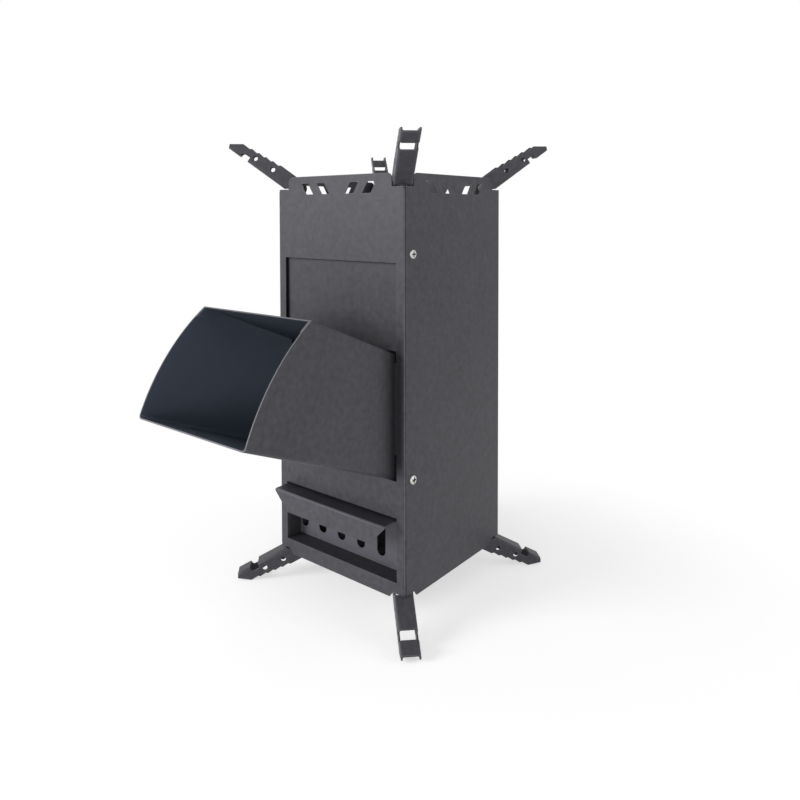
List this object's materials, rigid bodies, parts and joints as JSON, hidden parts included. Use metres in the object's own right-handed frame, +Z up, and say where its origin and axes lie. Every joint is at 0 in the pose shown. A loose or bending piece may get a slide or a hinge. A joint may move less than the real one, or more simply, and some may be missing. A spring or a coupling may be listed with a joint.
{
  "type": "folding camping wood stove",
  "caption": "Upright folding wood stove in black sheet steel with a fold-in fuel chute, smoke flap, air drawer, pot supports and legs.",
  "frame": {"origin": "on the ground, under the middle of the whole open stove", "axes": "+Z up; the chute and the drawer face -Y; +X to the right as seen from the front"},
  "size_m": [0.1944, 0.297, 0.355],
  "materials": {
    "coated_steel": "matt black heat-resistant powder coat on folded sheet steel",
    "coated_arms": "matt black heat-resistant powder coat on pressed steel channel",
    "coated_inner": "matt black coat on inner steel pieces",
    "plated_screws": "bright zinc or nickel plate on steel screws and nuts",
    "plated_pins": "plain steel pins"
  },
  "bodies": {
    "stove_body": {"front_panel": "coated_steel", "wrap_shell": "coated_steel", "floor_plate": "coated_inner", "fire_grate": "coated_inner", "grate_ledges": "coated_inner", "drawer_guides": "coated_inner", "chute_screws": "plated_screws", "chute_spacers": "coated_inner", "chute_nuts": "plated_screws", "flap_screws": "plated_screws", "flap_nuts": "plated_screws", "support_bracket_1": "coated_inner", "support_bracket_2": "coated_inner", "support_bracket_3": "coated_inner", "support_bracket_4": "coated_inner", "support_pins": "plated_pins", "leg_bracket_1": "coated_inner", "leg_bracket_2": "coated_inner", "leg_bracket_3": "coated_inner", "leg_bracket_4": "coated_inner", "leg_pins": "plated_pins"},
    "chute": {"chute_shell": "coated_steel", "chute_top": "coated_steel"},
    "flap": {"smoke_flap": "coated_steel"},
    "drawer": {"drawer_front": "coated_steel", "drawer_tray": "coated_inner", "drawer_rivets": "coated_inner"},
    "support_arm_1": {"pot_support_1": "coated_arms"},
    "leg_arm_1": {"leg_1": "coated_arms"},
    "support_arm_2": {"pot_support_2": "coated_arms"},
    "leg_arm_2": {"leg_2": "coated_arms"},
    "support_arm_3": {"pot_support_3": "coated_arms"},
    "leg_arm_3": {"leg_3": "coated_arms"},
    "support_arm_4": {"pot_support_4": "coated_arms"},
    "leg_arm_4": {"leg_4": "coated_arms"}
  },
  "joints": [
    {"name": "chute_fold", "type": "hinge", "parent": "stove_body", "child": "chute", "pos_m": [0, -0.0046, 0.1077], "axis": [-1, 0, 0], "range_deg": [0, 67.6]},
    {"name": "flap_swing", "type": "hinge", "parent": "stove_body", "child": "flap", "pos_m": [0, -0.0046, 0.2702], "axis": [1, 0, 0], "range_deg": [0, 135.2]},
    {"name": "drawer_slide", "type": "slide", "parent": "stove_body", "child": "drawer", "axis": [0, -1, 0], "range_m": [0, 0.08]},
    {"name": "support_fold_1", "type": "hinge", "parent": "stove_body", "child": "support_arm_1", "pos_m": [0.05303, -0.00163, 0.32003], "axis": [-0.7071, -0.7071, 0], "range_deg": [0, 143.7]},
    {"name": "leg_fold_1", "type": "hinge", "parent": "stove_body", "child": "leg_arm_1", "pos_m": [0.05303, -0.00163, 0.02404], "axis": [0.7071, 0.7071, 0], "range_deg": [0, 153.5]},
    {"name": "support_fold_2", "type": "hinge", "parent": "stove_body", "child": "support_arm_2", "pos_m": [0.05303, 0.10443, 0.32003], "axis": [0.7071, -0.7071, 0], "range_deg": [0, 143.7]},
    {"name": "leg_fold_2", "type": "hinge", "parent": "stove_body", "child": "leg_arm_2", "pos_m": [0.05303, 0.10443, 0.02404], "axis": [-0.7071, 0.7071, 0], "range_deg": [0, 153.5]},
    {"name": "support_fold_3", "type": "hinge", "parent": "stove_body", "child": "support_arm_3", "pos_m": [-0.05303, 0.10443, 0.32003], "axis": [0.7071, 0.7071, 0], "range_deg": [0, 143.7]},
    {"name": "leg_fold_3", "type": "hinge", "parent": "stove_body", "child": "leg_arm_3", "pos_m": [-0.05303, 0.10443, 0.02404], "axis": [-0.7071, -0.7071, 0], "range_deg": [0, 153.5]},
    {"name": "support_fold_4", "type": "hinge", "parent": "stove_body", "child": "support_arm_4", "pos_m": [-0.05303, -0.00163, 0.32003], "axis": [-0.7071, 0.7071, 0], "range_deg": [0, 143.7]},
    {"name": "leg_fold_4", "type": "hinge", "parent": "stove_body", "child": "leg_arm_4", "pos_m": [-0.05303, -0.00163, 0.02404], "axis": [0.7071, -0.7071, 0], "range_deg": [0, 153.5]}
  ],
  "couplings": [
    {"joint": "flap_swing", "follows": "chute_fold", "ratio": 2}
  ]
}
